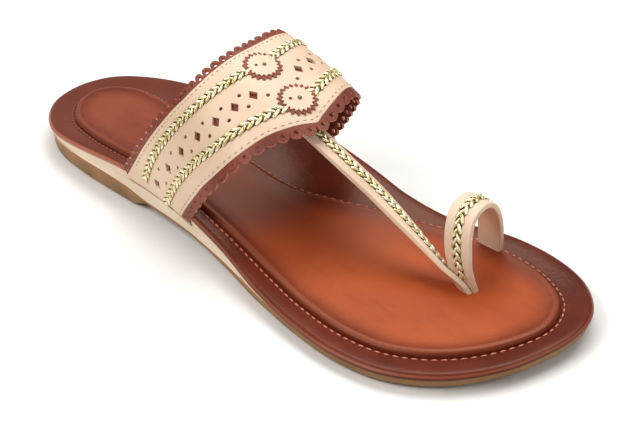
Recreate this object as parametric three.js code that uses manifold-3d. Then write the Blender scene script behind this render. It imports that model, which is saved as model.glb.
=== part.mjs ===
// Kolhapuri sandal, right foot, in millimetres.
// While it is drawn, x runs from the heel end (0) to the toe, y is positive on the big-toe side and
// z is up from the floor. The last group moves the origin under the middle of the bounding box.
import * as THREE from 'three';
import { mergeVertices } from 'three/addons/utils/BufferGeometryUtils.js';
import Module from 'manifold-3d';

const wasm = await Module();
wasm.setup();

const gap = 0.3;
const leather = 2.2;
const lining = 1.2;

// Half widths of the footbed's rim, outer (little toe) and inner (big toe), a row for each section.
const rimSections = [
  { at: 0, outer: -3.5, inner: 3.5 },
  { at: 3, outer: 9, inner: 14 },
  { at: 9, outer: 16.4, inner: 20.4 },
  { at: 18, outer: 23, inner: 25 },
  { at: 30, outer: 28, inner: 28.6 },
  { at: 48, outer: 30.3, inner: 31 },
  { at: 80, outer: 31, inner: 32.8 },
  { at: 112, outer: 32.2, inner: 34 },
  { at: 140, outer: 35.6, inner: 33.5 },
  { at: 164, outer: 40.6, inner: 32.7 },
  { at: 187, outer: 44.2, inner: 35.2 },
  { at: 206, outer: 45.1, inner: 40.2 },
  { at: 225, outer: 41.5, inner: 39.8 },
  { at: 241, outer: 31.4, inner: 34.6 },
  { at: 252.4, outer: 16, inner: 24.8 },
  { at: 256.8, outer: 1, inner: 16 },
  { at: 257.8, outer: -7, inner: 7 },
];

// The padded cover is shaped like a footprint: narrow and toward the outer side at the waist.
const padSections = [
  { at: 12.5, outer: -2, inner: 2 },
  { at: 16, outer: 7, inner: 9.5 },
  { at: 28, outer: 16.8, inner: 14.4 },
  { at: 44, outer: 21.8, inner: 13.6 },
  { at: 60, outer: 24.6, inner: 11 },
  { at: 80, outer: 26.2, inner: 7.4 },
  { at: 100, outer: 26.8, inner: 4.4 },
  { at: 118, outer: 27.4, inner: 3 },
  { at: 136, outer: 29, inner: 4.8 },
  { at: 151, outer: 31, inner: 11.2 },
  { at: 165, outer: 33, inner: 18.8 },
  { at: 182, outer: 35.6, inner: 25.4 },
  { at: 202, outer: 36.8, inner: 30 },
  { at: 219, outer: 33.8, inner: 30.2 },
  { at: 233, outer: 25.4, inner: 26.6 },
  { at: 244, outer: 11.4, inner: 19.2 },
  { at: 249.4, outer: -6, inner: 6 },
];

// Heights along the sole: the floor side and top of the rubber, the top of the midsole, the rim, and
// how much the arch lifts the inner side.
const heights = [
  { at: 0, floor: 0, tread: 6.3, mid: 7.5, rim: 9.6, arch: 0 },
  { at: 32, floor: 0, tread: 7.4, mid: 10.5, rim: 12.6, arch: 0 },
  { at: 62, floor: 0, tread: 8, mid: 13.6, rim: 15.7, arch: 0 },
  { at: 81, floor: 0, tread: 7.4, mid: 15.1, rim: 17.2, arch: 0.3 },
  { at: 85, floor: 1.4, tread: 6.8, mid: 15.2, rim: 17.3, arch: 0.6 },
  { at: 93, floor: 4.2, tread: 5.9, mid: 15.1, rim: 17.2, arch: 1.2 },
  { at: 123, floor: 3.9, tread: 5.2, mid: 12.2, rim: 14.3, arch: 2.4 },
  { at: 125, floor: 2.6, tread: 5, mid: 11.9, rim: 14, arch: 2.4 },
  { at: 150, floor: 0.3, tread: 4.3, mid: 8.3, rim: 10.4, arch: 1.8 },
  { at: 164, floor: 0, tread: 4.1, mid: 6.1, rim: 8.2, arch: 1 },
  { at: 184, floor: 0, tread: 4.5, mid: 4.5, rim: 6.6, arch: 0 },
  { at: 214, floor: 0, tread: 4, mid: 4, rim: 6.1, arch: 0 },
  { at: 238, floor: 0.8, tread: 4.4, mid: 4.4, rim: 6.5, arch: 0 },
  { at: 258, floor: 2.2, tread: 5.8, mid: 5.8, rim: 7.9, arch: 0 },
];

// The instep under the band: crown height along the foot, and its half widths down at the sole.
const instep = [
  { at: 64, crown: 72, outer: 30.6, inner: 32 },
  { at: 89, crown: 69, outer: 31.3, inner: 33 },
  { at: 109, crown: 65.4, outer: 32, inner: 33.9 },
  { at: 131, crown: 59.2, outer: 34.4, inner: 33.7 },
  { at: 148, crown: 52.2, outer: 37.2, inner: 33.2 },
  { at: 156, crown: 47, outer: 38.8, inner: 32.9 },
  { at: 169, crown: 38.4, outer: 41.4, inner: 32.8 },
];
const crownLine = 4;
const outerFullness = 2.3;
const innerFullness = 3.4;

// Rear and front edges of the band, from its middle (0) down each side to the sole (1).
const bandMiddle = -0.045;
const bandEdges = [
  { down: 0, rear: 118.6, front: 154.8 },
  { down: 0.12, rear: 118.4, front: 151.3 },
  { down: 0.26, rear: 116, front: 148 },
  { down: 0.42, rear: 110, front: 144.2 },
  { down: 0.57, rear: 102.8, front: 137.6 },
  { down: 0.74, rear: 94.6, front: 129 },
  { down: 0.9, rear: 86.8, front: 121.8 },
  { down: 1, rear: 82.5, front: 117.5 },
];
const bandTuck = 8;
const bandSink = 0.5;
const foldRadius = 2.6;
const edgeSide = 30;

// The T-strap's middle line, with the turn of its face from lying across the foot to along it.
const strapSections = [
  { at: 139, side: 1, up: 49, turn: 0, wide: 8 },
  { at: 150, side: 1.6, up: 43.2, turn: 8, wide: 8 },
  { at: 165, side: 3, up: 35.2, turn: 21, wide: 8 },
  { at: 180, side: 4.3, up: 27.2, turn: 32, wide: 8 },
  { at: 194, side: 4.5, up: 19.5, turn: 48, wide: 7.6 },
  { at: 206, side: 4.2, up: 12.9, turn: 65, wide: 6.8 },
  { at: 214.8, side: 4.6, up: 8, turn: 80, wide: 5.4 },
  { at: 217.4, side: 5.1, up: 4.5, turn: 88, wide: 4.6 },
];

// The toe loop, from its outer leg (-1), which leans in at its foot, over the top (0) to its inner leg (1).
const loopSections = [
  { turn: -1, at: 217.7, wide: 4.4, lean: 2.2 },
  { turn: -0.85, at: 217, wide: 5.2, lean: 1.8 },
  { turn: -0.7, at: 215.7, wide: 7.4, lean: 1 },
  { turn: -0.55, at: 214, wide: 9.4, lean: 0.3 },
  { turn: -0.4, at: 212.6, wide: 10.4, lean: 0 },
  { turn: 0, at: 208.6, wide: 10.4, lean: 0 },
  { turn: 0.5, at: 206.4, wide: 10.2, lean: 0 },
  { turn: 1, at: 205, wide: 9.2, lean: 0 },
];
const loop = { middle: 16.8, reach: 12.1, foot: 4.5, top: 30.8, full: 2.5 };
const strapThick = 2;

// Slots right through bed and pad: the outer one takes the loop's outer leg and the strap's end.
const slots = [
  { at: 216.2, side: 5.6, along: 9.8, across: 5.6 },
  { at: 205.2, side: 28.9, along: 10.4, across: 2.6 },
];

// The rounding of the bed's rim, the shallow dish inside it, and how the layers below make room.
const rimRound = { reach: 1.8, drop: 1, under: 0.7, lift: 0.2 };
const dish = { from: 2.5, to: 11, depth: 1 };
const seat = { from: 2.5, to: 9, depth: 0.6 };
const wedgeEnd = 170;
const wedgeFade = { from: 150, to: 168 };
const outsoleIn = 1.2;
const midsoleIn = 0.8;

// The pad's edge ridge and the part of its thickness that stays inside it.
const ridge = { reach: 2.6, height: 1.5, settle: 0.5, to: 8 };
const padLift = 0.4;

// The middle line of a layer stops this far from the heel and toe ends of its outline.
const spineStop = { heel: 26, toe: 34 };

const looks = {
  rubber: { color: 0x8d6f3f, roughness: 0.7 },
  wedge: { color: 0xd9bd98, roughness: 0.75 },
  rim: { color: 0x4d2620, roughness: 0.35 },
  pad: { color: 0xa34d2c, roughness: 0.4 },
  beige: { color: 0xdcb894, roughness: 0.6 },
  brown: { color: 0x6b2a20, roughness: 0.6 },
};

// A smooth curve through one column of a table that neither overshoots nor dips between its rows.
function column(rows, key, name) {
  const steps = rows.slice(1).map((row, i) => row[key] - rows[i][key]);
  const rises = steps.map((step, i) => (rows[i + 1][name] - rows[i][name]) / step);
  const slopes = rows.map((row, i) => {
    if (i === 0) return rises[0];
    if (i === rows.length - 1) return rises[i - 1];
    const [before, after] = [rises[i - 1], rises[i]];
    return before * after <= 0 ? 0 : (2 * before * after) / (before + after);
  });
  return (place) => {
    const p = THREE.MathUtils.clamp(place, rows[0][key], rows[rows.length - 1][key]);
    let i = 0;
    while (i < steps.length - 1 && p > rows[i + 1][key]) i += 1;
    const t = (p - rows[i][key]) / steps[i];
    const [a, b] = [rows[i][name], rows[i + 1][name]];
    const [u, v] = [slopes[i] * steps[i], slopes[i + 1] * steps[i]];
    return a + t * (u + t * (3 * (b - a) - 2 * u - v + t * (2 * (a - b) + u + v)));
  };
}

const floorAt = column(heights, 'at', 'floor');
const treadAt = column(heights, 'at', 'tread');
const midAt = column(heights, 'at', 'mid');
const rimAt = column(heights, 'at', 'rim');
const archAt = column(heights, 'at', 'arch');

// A closed outline through a table's rows; grow moves it outward.
function outline(sections, grow = 0) {
  const outer = sections.map((s) => new THREE.Vector3(s.at, -s.outer, 0));
  const inner = sections.slice(1, -1).map((s) => new THREE.Vector3(s.at, s.inner, 0)).reverse();
  const curve = new THREE.CatmullRomCurve3([...outer, ...inner], true, 'centripetal');
  return (t) => {
    const turn = t % 1;
    const p = curve.getPoint(turn);
    const way = curve.getPoint((turn + 1e-4) % 1).sub(curve.getPoint((turn + 1 - 1e-4) % 1)).normalize();
    return new THREE.Vector2(p.x + way.y * grow, p.y - way.x * grow);
  };
}

const rimLine = outline(rimSections);
const rimPoints = Array.from({ length: 240 }, (_, i) => rimLine(i / 240));

// Distance of a place from the rim's outline.
function insetOf(x, y) {
  let best = Infinity;
  for (let i = 0; i < rimPoints.length; i += 1) {
    const a = rimPoints[i];
    const b = rimPoints[(i + 1) % rimPoints.length];
    const along = ((x - a.x) * (b.x - a.x) + (y - a.y) * (b.y - a.y)) / a.distanceToSquared(b);
    const t = THREE.MathUtils.clamp(along, 0, 1);
    best = Math.min(best, Math.hypot(x - a.x - t * (b.x - a.x), y - a.y - t * (b.y - a.y)));
  }
  return best;
}

const archLift = (x, y) => archAt(x) * THREE.MathUtils.smoothstep(y, -6, 32);
const midTop = (x, y) => midAt(x) + archLift(x, y);

// Top of the leather-covered board: a rounded rim, a flat border, then a shallow dish under the pad.
function bedTop(x, y) {
  const inset = insetOf(x, y);
  const round = Math.max(0, 1 - inset / rimRound.reach);
  const dip = dish.depth * THREE.MathUtils.smoothstep(inset, dish.from, dish.to);
  return rimAt(x) + archLift(x, y) - rimRound.drop * round * round - dip;
}

// How far the bed's underside and the midsole sink inside the edge, and past the wedge the outsole too.
const sunk = (inset) => seat.depth * THREE.MathUtils.smoothstep(inset, seat.from, seat.to);
const lowSunk = (x, inset) => sunk(inset) * THREE.MathUtils.smoothstep(x, wedgeFade.from, wedgeFade.to);

// Indexed geometry whose doubled vertices are joined.
function weld(positions, triangles) {
  const geometry = new THREE.BufferGeometry();
  geometry.setAttribute('position', new THREE.Float32BufferAttribute(positions, 3));
  geometry.setIndex(triangles);
  return mergeVertices(geometry, 1e-3);
}

// A sole layer between two height functions. Every row runs from the outer edge over a spine to the
// inner edge; the first and last rows fold together at the heel and toe tips.
function soleLayer(sections, { grow = 0, rows = 44, insets, bottom, top }) {
  const edge = outline(sections, grow);
  const length = sections[sections.length - 1].at;
  const fractions = [0.5, 1];
  const across = 2 * (insets.length + fractions.length) - 1;
  const positions = [];
  const place = (i, j) => {
    const middle = insets.length + fractions.length - 1;
    const [outer, inner] = [edge((0.5 * i) / rows), edge(1 - (0.5 * i) / rows)];
    const halfway = (outer.x + inner.x) / 2;
    const spineAt = spineStop.heel + (halfway / length) * (length - spineStop.heel - spineStop.toe);
    const spine = new THREE.Vector2(spineAt, (outer.y + inner.y) / 2);
    const from = j < middle ? outer : inner;
    const step = j <= middle ? j : 2 * middle - j;
    const whole = from.distanceTo(spine);
    const last = insets[insets.length - 1];
    const share = fractions[step - insets.length];
    const inset = step < insets.length ? insets[step] : last + (whole - last) * share;
    return { at: from.clone().lerp(spine, inset / whole), inset };
  };
  for (const face of [top, bottom]) {
    for (let i = 0; i <= rows; i += 1) {
      for (let j = 0; j < across; j += 1) {
        const { at, inset } = place(i, j);
        positions.push(at.x, at.y, face(at.x, at.y, inset));
      }
    }
  }
  const triangles = [];
  const quad = (a, b, c, d) => triangles.push(a, b, c, a, c, d);
  const under = (rows + 1) * across;
  for (let i = 0; i < rows; i += 1) {
    for (let j = 0; j < across - 1; j += 1) {
      const a = i * across + j;
      quad(a, a + across, a + across + 1, a + 1);
      quad(under + a, under + a + 1, under + a + across + 1, under + a + across);
    }
    const [outer, inner] = [i * across, i * across + across - 1];
    quad(under + outer, under + outer + across, outer + across, outer);
    quad(inner, inner + across, under + inner + across, under + inner);
  }
  return weld(positions, triangles);
}

// A shell from a surface function of two parameters, between two depths below its outer face.
function shell(surface, { along, across, from, to, shallow, deep }) {
  const rowsUp = along.length;
  const cols = across.length;
  const step = 1e-3;
  const positions = [];
  for (const depth of [shallow, deep]) {
    for (const q of along) {
      for (const v of across) {
        const p = surface(q, v);
        const alongWay = surface(q + step, v).sub(surface(q - step, v));
        const acrossWay = surface(q, v + step).sub(surface(q, v - step));
        const normal = acrossWay.cross(alongWay).normalize();
        positions.push(...p.addScaledVector(normal, -depth).toArray());
      }
    }
  }
  const triangles = [];
  const quad = (a, b, c, d) => triangles.push(a, b, c, a, c, d);
  const under = rowsUp * cols;
  for (let i = 0; i < rowsUp - 1; i += 1) {
    for (let j = 0; j < cols - 1; j += 1) {
      const a = i * cols + j;
      quad(a, a + 1, a + cols + 1, a + cols);
      quad(under + a, under + a + cols, under + a + cols + 1, under + a + 1);
    }
    const [l, r] = [i * cols, i * cols + cols - 1];
    quad(l, l + cols, under + l + cols, under + l);
    quad(r, under + r, under + r + cols, r + cols);
  }
  for (let j = 0; j < cols - 1; j += 1) {
    const [f, b] = [j, (rowsUp - 1) * cols + j];
    quad(f, under + f, under + f + 1, f + 1);
    quad(b, b + 1, under + b + 1, under + b);
  }
  return weld(positions, triangles);
}

const crownAt = column(instep, 'at', 'crown');
const outerAt = column(instep, 'at', 'outer');
const innerAt = column(instep, 'at', 'inner');
const rearAt = column(bandEdges, 'down', 'rear');
const frontAt = column(bandEdges, 'down', 'front');

// A round-shouldered arch in its own plane: turn goes from -1 over 0 (the crown) to 1.
function archPoint(turn, width, height, fullness) {
  const angle = (turn * Math.PI) / 2;
  const flat = Math.abs(Math.sin(angle) / width) ** fullness;
  const tall = Math.abs(Math.cos(angle) / height) ** fullness;
  const reach = (flat + tall) ** (-1 / fullness);
  return { side: reach * Math.sin(angle), up: reach * Math.cos(angle) };
}

// Outer face of the band: q goes from the outer sole edge (-1) over the middle (0) to the inner one
// (1), v from the rear edge (0) to the front edge (1). Past the sole edge it turns in under the bed.
const pastStep = 100;
function bandSurface(q, v) {
  const held = THREE.MathUtils.clamp(q, -1, 1);
  const past = Math.abs(q) > 1 ? (Math.abs(q) - 1) * pastStep : 0;
  const [rear, front] = [rearAt(Math.abs(held)), frontAt(Math.abs(held))];
  const x = rear + (front - rear) * v;
  const turn = bandMiddle + held * (1 - Math.sign(held) * bandMiddle);
  const outerSide = turn < 0;
  const width = outerSide ? outerAt(x) + crownLine : innerAt(x) - crownLine;
  const foot = midTop(x, outerSide ? -edgeSide : edgeSide) + bandSink;
  const fullness = outerSide ? outerFullness : innerFullness;
  const { side, up } = archPoint(turn, width, crownAt(x) - foot, fullness);
  const bend = Math.min(past / foldRadius, Math.PI / 2);
  const straight = Math.max(0, past - (foldRadius * Math.PI) / 2);
  const inward = foldRadius * (1 - Math.cos(bend)) + straight;
  const down = foldRadius * Math.sin(bend);
  const y = crownLine + side + (outerSide ? inward : -inward);
  return new THREE.Vector3(x, y, foot + up - down);
}

const linspace = (from, to, count) => Array.from({ length: count + 1 }, (_, i) => from + ((to - from) * i) / count);
const folds = linspace(0, 1, 4).map((t) => 1 + (t * (foldRadius * Math.PI) / 2) / pastStep);
const tuckEnd = 1 + ((foldRadius * Math.PI) / 2 + bandTuck - foldRadius) / pastStep;

function bandSolid(shallow, deep, spread, tail) {
  const down = [...linspace(0, 1, 22).slice(0, -1), ...folds, tail].filter((q) => q <= tail);
  const along = [...down.slice(1).map((q) => -q).reverse(), ...down];
  const across = linspace(-spread, 1 + spread, 5);
  return shell(bandSurface, { along, across, shallow, deep });
}

// A ribbon along a list of places, each with its width as a vector.
function ribbon(stations, thick) {
  const at = new THREE.CatmullRomCurve3(stations.map((s) => s.at), false, 'centripetal');
  const wide = new THREE.CatmullRomCurve3(stations.map((s) => s.wide), false, 'centripetal');
  const surface = (t, v) => at.getPoint(t).addScaledVector(wide.getPoint(t), v - 0.5);
  const along = linspace(0.001, 0.999, 4 * (stations.length - 1));
  return shell(surface, { along, across: [0, 0.5, 1], shallow: -thick / 2, deep: thick / 2 });
}

function strapStations() {
  return strapSections.map((row) => {
    const turn = THREE.MathUtils.degToRad(row.turn);
    const wide = new THREE.Vector3(-Math.sin(turn), Math.cos(turn), 0).multiplyScalar(row.wide);
    return { at: new THREE.Vector3(row.at, row.side, row.up), wide };
  });
}

function loopStations() {
  const alongAt = column(loopSections, 'turn', 'at');
  const wideAt = column(loopSections, 'turn', 'wide');
  const leanAt = column(loopSections, 'turn', 'lean');
  return linspace(-1, 1, 12).map((turn) => {
    const { side, up } = archPoint(turn, loop.reach, loop.top - loop.foot, loop.full);
    const at = new THREE.Vector3(alongAt(turn), loop.middle + side + leanAt(turn), loop.foot + up);
    return { at, wide: new THREE.Vector3(wideAt(turn), 0, 0) };
  });
}

function toManifold(geometry) {
  const { position } = geometry.attributes;
  const vertProperties = Float32Array.from(position.array);
  return new wasm.Manifold(new wasm.Mesh({ numProp: 3, vertProperties, triVerts: Uint32Array.from(geometry.index.array) }));
}

function toGeometry(solid) {
  const mesh = solid.getMesh();
  const geometry = new THREE.BufferGeometry();
  geometry.setAttribute('position', new THREE.BufferAttribute(Float32Array.from(mesh.vertProperties), 3));
  geometry.setIndex(Array.from(mesh.triVerts));
  return geometry;
}

function block(x, y, z, dx, dy, dz) {
  const geometry = new THREE.BoxGeometry(dx, dy, dz).translate(x, y, z);
  geometry.deleteAttribute('normal');
  geometry.deleteAttribute('uv');
  return toManifold(mergeVertices(geometry));
}

function piece(name, solid, look) {
  const material = new THREE.MeshStandardMaterial({ metalness: 0, ...looks[look] });
  const mesh = new THREE.Mesh(solid instanceof THREE.BufferGeometry ? solid : toGeometry(solid), material);
  mesh.name = name;
  return mesh;
}

const treadRound = { reach: 2.2, lift: 1.6 };
function outsole() {
  return toManifold(soleLayer(rimSections, {
    grow: -outsoleIn,
    rows: 50,
    insets: [0, 0.9, treadRound.reach, seat.to],
    bottom: (x, y, inset) => floorAt(x) + treadRound.lift * Math.max(0, 1 - inset / treadRound.reach) ** 2,
    top: (x, y, inset) => treadAt(x) - lowSunk(x, inset + outsoleIn),
  }));
}

// The room that the band and its tucked ends take in the sole; spreads are shares of the band's width.
const roomSpread = 0.01;
const liningSpread = 0.12;
const liningEnd = 0.99;
const bandRoom = toManifold(bandSolid(-gap, leather + gap, roomSpread, tuckEnd + gap / pastStep));

function midsole() {
  const wedge = toManifold(soleLayer(rimSections, {
    grow: -midsoleIn,
    rows: 40,
    insets: [0, 1.5, seat.to],
    bottom: (x, y, inset) => treadAt(x) + gap - lowSunk(x, inset + midsoleIn),
    top: (x, y, inset) => Math.max(midTop(x, y), treadAt(x) + 2 * gap) - sunk(inset + midsoleIn),
  }));
  return wedge.subtract(block(wedgeEnd + 100, 0, 0, 200, 200, 200)).subtract(bandRoom);
}

const board = toManifold(soleLayer(rimSections, {
  rows: 46,
  insets: [0, rimRound.under, rimRound.reach, 5, seat.to],
  bottom: (x, y, inset) => midTop(x, y) + gap + rimRound.lift * Math.max(0, 1 - inset / rimRound.under) - sunk(inset),
  top: (x, y) => bedTop(x, y),
}));

function footbed() {
  return board.subtract(bandRoom).subtract(legRoom());
}

function legRoom() {
  return wasm.Manifold.union(slots.map((slot) => block(slot.at, slot.side, 0, slot.along, slot.across, 40)));
}

function footbedPad() {
  const cushion = toManifold(soleLayer(padSections, {
    rows: 39,
    insets: [0, 1, ridge.reach, 5],
    bottom: (x, y) => bedTop(x, y) - padLift,
    top: (x, y, inset) => {
      const rise = ridge.height * Math.sqrt(1 - Math.max(0, 1 - inset / ridge.reach) ** 2);
      const settle = ridge.settle * THREE.MathUtils.smoothstep(inset, ridge.reach, ridge.to);
      return bedTop(x, y) + gap + padLift + rise - settle;
    },
  }));
  return cushion.subtract(board.translate([0, 0, gap])).subtract(legRoom());
}

const seam = { at: 146, side: 0, up: 48.6, along: 6, across: 6, tall: 6 };
const seamBlock = (room) => block(seam.at, seam.side, seam.up, seam.along + room, seam.across + room, seam.tall + room);

function upper() {
  const band = toManifold(bandSolid(0, leather, 0, tuckEnd));
  const strap = toManifold(ribbon(strapStations(), strapThick));
  const toeLoop = toManifold(ribbon(loopStations(), strapThick));
  return band.add(strap).add(toeLoop).add(seamBlock(0));
}

function bandLining() {
  const deepest = leather + gap + lining;
  const sheet = toManifold(bandSolid(leather + gap, deepest, liningSpread, liningEnd));
  return sheet.subtract(seamBlock(2 * gap)).subtract(board.translate([0, 0, gap]));
}

const sandal = new THREE.Group();
sandal.add(
  piece('outsole', outsole(), 'rubber'),
  piece('midsole', midsole(), 'wedge'),
  piece('footbed', footbed(), 'rim'),
  piece('footbed_pad', footbedPad(), 'pad'),
  piece('upper', upper(), 'beige'),
  piece('band_lining', bandLining(), 'brown'),
);

const bounds = new THREE.Box3().setFromObject(sandal);
const middle = bounds.getCenter(new THREE.Vector3());
sandal.position.set(-middle.x, -middle.y, -bounds.min.z);

const part = new THREE.Group();
part.add(sandal);
export default part;
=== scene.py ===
"""A right foot kolhapuri sandal: gum rubber sole, cream wedge, brown leather bed with a stitched pad,
beige punched band over a scalloped lining, gold braids, a T-strap and a big toe ring."""

import math

import bpy
import numpy as np
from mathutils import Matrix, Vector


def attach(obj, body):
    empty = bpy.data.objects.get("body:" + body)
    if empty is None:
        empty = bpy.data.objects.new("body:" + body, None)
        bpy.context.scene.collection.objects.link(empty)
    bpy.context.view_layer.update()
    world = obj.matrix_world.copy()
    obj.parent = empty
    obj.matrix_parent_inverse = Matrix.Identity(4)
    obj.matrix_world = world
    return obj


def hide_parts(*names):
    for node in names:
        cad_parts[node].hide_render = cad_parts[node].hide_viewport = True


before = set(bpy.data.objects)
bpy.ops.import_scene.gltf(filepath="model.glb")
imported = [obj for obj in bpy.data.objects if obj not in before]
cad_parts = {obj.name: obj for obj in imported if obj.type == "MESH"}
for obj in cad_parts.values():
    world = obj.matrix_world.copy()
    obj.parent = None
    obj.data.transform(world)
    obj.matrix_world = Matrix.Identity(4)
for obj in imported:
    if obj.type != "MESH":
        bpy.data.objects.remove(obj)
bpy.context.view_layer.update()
bpy.ops.object.select_all(action="DESELECT")


# ---- The stand: a pale plain floor, soft light from large panels, and the camera ----
# The sandal stands heel away from the camera, on matt card that is a little warm.
bpy.ops.object.camera_add(location=(0.3481, -0.27, 0.2805))
camera = bpy.context.object
aim = np.array((0.0279, -0.0009, 0.015)) - np.array(camera.location)
camera.rotation_euler = Vector(aim).to_track_quat("-Z", "Y").to_euler()
camera.rotation_euler.rotate_axis("Z", math.radians(-4.87))
camera.data.sensor_width = 36
camera.data.lens = 81.5
camera.data.clip_end = 20
bpy.context.scene.camera = camera
bpy.context.scene.view_settings.view_transform = "Standard"


def panel(name, place, target, size, power, tint):
    """A soft box of light that faces its target."""
    bpy.ops.object.light_add(type="AREA", location=place)
    lamp = bpy.context.object
    lamp.name = name
    lamp.data.shape = "RECTANGLE"
    lamp.data.size, lamp.data.size_y = size
    lamp.data.energy = power
    lamp.data.color = tint
    way = Vector(target) - Vector(place)
    lamp.rotation_euler = way.to_track_quat("-Z", "Y").to_euler()


panel("key_panel", (-0.25, -0.55, 0.75), (0, 0, 0.02), (0.7, 0.5), 5.6, (1, 0.98, 0.95))
panel("top_panel", (-0.1, 0.35, 0.8), (0, 0, 0.02), (0.9, 0.5), 7.0, (1, 1, 1))
panel("toe_panel", (0.75, 0.1, 0.45), (0.03, 0, 0.02), (0.4, 0.5), 1.4, (1, 0.99, 0.97))

world = bpy.data.worlds.new("studio")
bpy.context.scene.world = world
world.use_nodes = True
world.node_tree.nodes["Background"].inputs["Color"].default_value = (1, 0.99, 0.97, 1)
world.node_tree.nodes["Background"].inputs["Strength"].default_value = 0.26


class Socket:
    """One shader socket. Sums on it add Math nodes; node() adds any other kind."""

    def __init__(self, tree, socket=None):
        self.tree = tree
        self.socket = socket

    def node(self, kind, settings, inputs, output=0):
        made = self.tree.nodes.new(kind)
        for key, value in settings.items():
            setattr(made, key, value)
        for key, value in inputs.items():
            if isinstance(value, Socket):
                self.tree.links.new(value.socket, made.inputs[key])
            else:
                made.inputs[key].default_value = value
        return Socket(self.tree, made.outputs[output])

    def sum(self, operation, first, second=0.0):
        return self.node("ShaderNodeMath", {"operation": operation}, {0: first, 1: second})

    def __add__(self, other):
        return self.sum("ADD", self, other)

    __radd__ = __add__

    def __sub__(self, other):
        return self.sum("SUBTRACT", self, other)

    def __rsub__(self, other):
        return self.sum("SUBTRACT", other, self)

    def __mul__(self, other):
        return self.sum("MULTIPLY", self, other)

    __rmul__ = __mul__

    def step(self, low, high):
        """0 below low, 1 above high and smooth between; high may be the smaller."""
        settings = {"interpolation_type": "SMOOTHSTEP"}
        inputs = {"Value": self, "From Min": low, "From Max": high}
        return self.node("ShaderNodeMapRange", settings, inputs)

    def mix(self, mask, first, second):
        return self.node("ShaderNodeMix", {"data_type": "RGBA"}, {0: mask, 6: first, 7: second}, 2)

    def noise(self, scale, detail=3.0, stretch=(1, 1, 1)):
        place = self.node("ShaderNodeTexCoord", {}, {}, "Object")
        if stretch != (1, 1, 1):
            place = self.node("ShaderNodeMapping", {}, {"Vector": place, "Scale": stretch})
        return self.node("ShaderNodeTexNoise", {}, {"Vector": place, "Scale": scale, "Detail": detail}, "Fac")

    def pores(self, scale):
        place = self.node("ShaderNodeTexCoord", {}, {}, "Object")
        return self.node("ShaderNodeTexVoronoi", {}, {"Vector": place, "Scale": scale}, "Distance")

    def along_foot(self):
        """Metres toward the toe from the middle of the sandal."""
        place = self.node("ShaderNodeTexCoord", {}, {}, "Object")
        return self.node("ShaderNodeSeparateXYZ", {}, {"Vector": place}, "X")

    def attribute(self, name):
        return self.node("ShaderNodeAttribute", {"attribute_name": name}, {}, "Fac")

    def bump(self, height, strength, distance=0.0003):
        inputs = {"Height": height, "Strength": strength, "Distance": distance}
        return self.node("ShaderNodeBump", {}, inputs)


def tone(red, green, blue):
    """A paint chip's 0 to 255 values as the light they stand for."""
    chip = [value / 255 for value in (red, green, blue)]
    return (*[v / 12.92 if v < 0.04045 else ((v + 0.055) / 1.055) ** 2.4 for v in chip], 1)


def new_finish(name, **numbers):
    """A material, and the start of its node sums. Numbers go straight onto the shader's sockets."""
    finish = bpy.data.materials.new(name)
    finish.use_nodes = True
    shader = finish.node_tree.nodes["Principled BSDF"]
    for key, value in numbers.items():
        shader.inputs[key.replace("_", " ").title().replace("Ior", "IOR")].default_value = value
    return finish, Socket(finish.node_tree)


def feed(finish, **links):
    """Joins sums to the shader's sockets."""
    shader = finish.node_tree.nodes["Principled BSDF"]
    for key, value in links.items():
        finish.node_tree.links.new(value.socket, shader.inputs[key.replace("_", " ").title()])


bpy.ops.mesh.primitive_plane_add(size=6)
floor = bpy.context.object
floor.name = "floor"
card, start = new_finish("pale_card", roughness=0.9)
shade = start.mix(start.noise(40), tone(236, 235, 233), tone(240, 239, 237))
feed(card, base_color=shade)
floor.data.materials.append(card)


# ---- Outsole: moulded gum rubber, a low heel block joined to a thin forefoot by a raised waist ----
# The tables give the last in millimetres: x from the heel, outer and inner half widths of the rim,
# and the heights of the layers along the sole.
def rows(names, *lines):
    return [dict(zip(names.split(), line)) for line in lines]


rim_table = rows(
    "at outer inner",
    (0, -3.5, 3.5), (3, 9, 14), (9, 16.4, 20.4), (18, 23, 25), (30, 28, 28.6), (48, 30.3, 31),
    (80, 31, 32.8), (112, 32.2, 34), (140, 35.6, 33.5), (164, 40.6, 32.7), (187, 44.2, 35.2),
    (206, 45.1, 40.2), (225, 41.5, 39.8), (241, 31.4, 34.6), (252.4, 16, 24.8), (256.8, 1, 16),
    (257.8, -7, 7),
)
height_table = rows(
    "at floor tread mid rim arch",
    (0, 0, 6.3, 7.5, 9.6, 0), (32, 0, 7.4, 10.5, 12.6, 0), (62, 0, 8, 13.6, 15.7, 0),
    (81, 0, 7.4, 15.1, 17.2, 0.3), (85, 1.4, 6.8, 15.2, 17.3, 0.6), (93, 4.2, 5.9, 15.1, 17.2, 1.2),
    (123, 3.9, 5.2, 12.2, 14.3, 2.4), (125, 2.6, 5, 11.9, 14, 2.4), (150, 0.3, 4.3, 8.3, 10.4, 1.8),
    (164, 0, 4.1, 6.1, 8.2, 1), (184, 0, 4.5, 4.5, 6.6, 0), (214, 0, 4, 4, 6.1, 0),
    (238, 0.8, 4.4, 4.4, 6.5, 0), (258, 2.2, 5.8, 5.8, 7.9, 0),
)
# Where the last's own origin lies in the finished sandal's frame.
HEEL_END = -128.9
MIDDLE = 2.287
# A layer's middle line stops this far from the two ends of its outline.
HEEL_STOP, TOE_STOP = 26, 34


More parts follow.
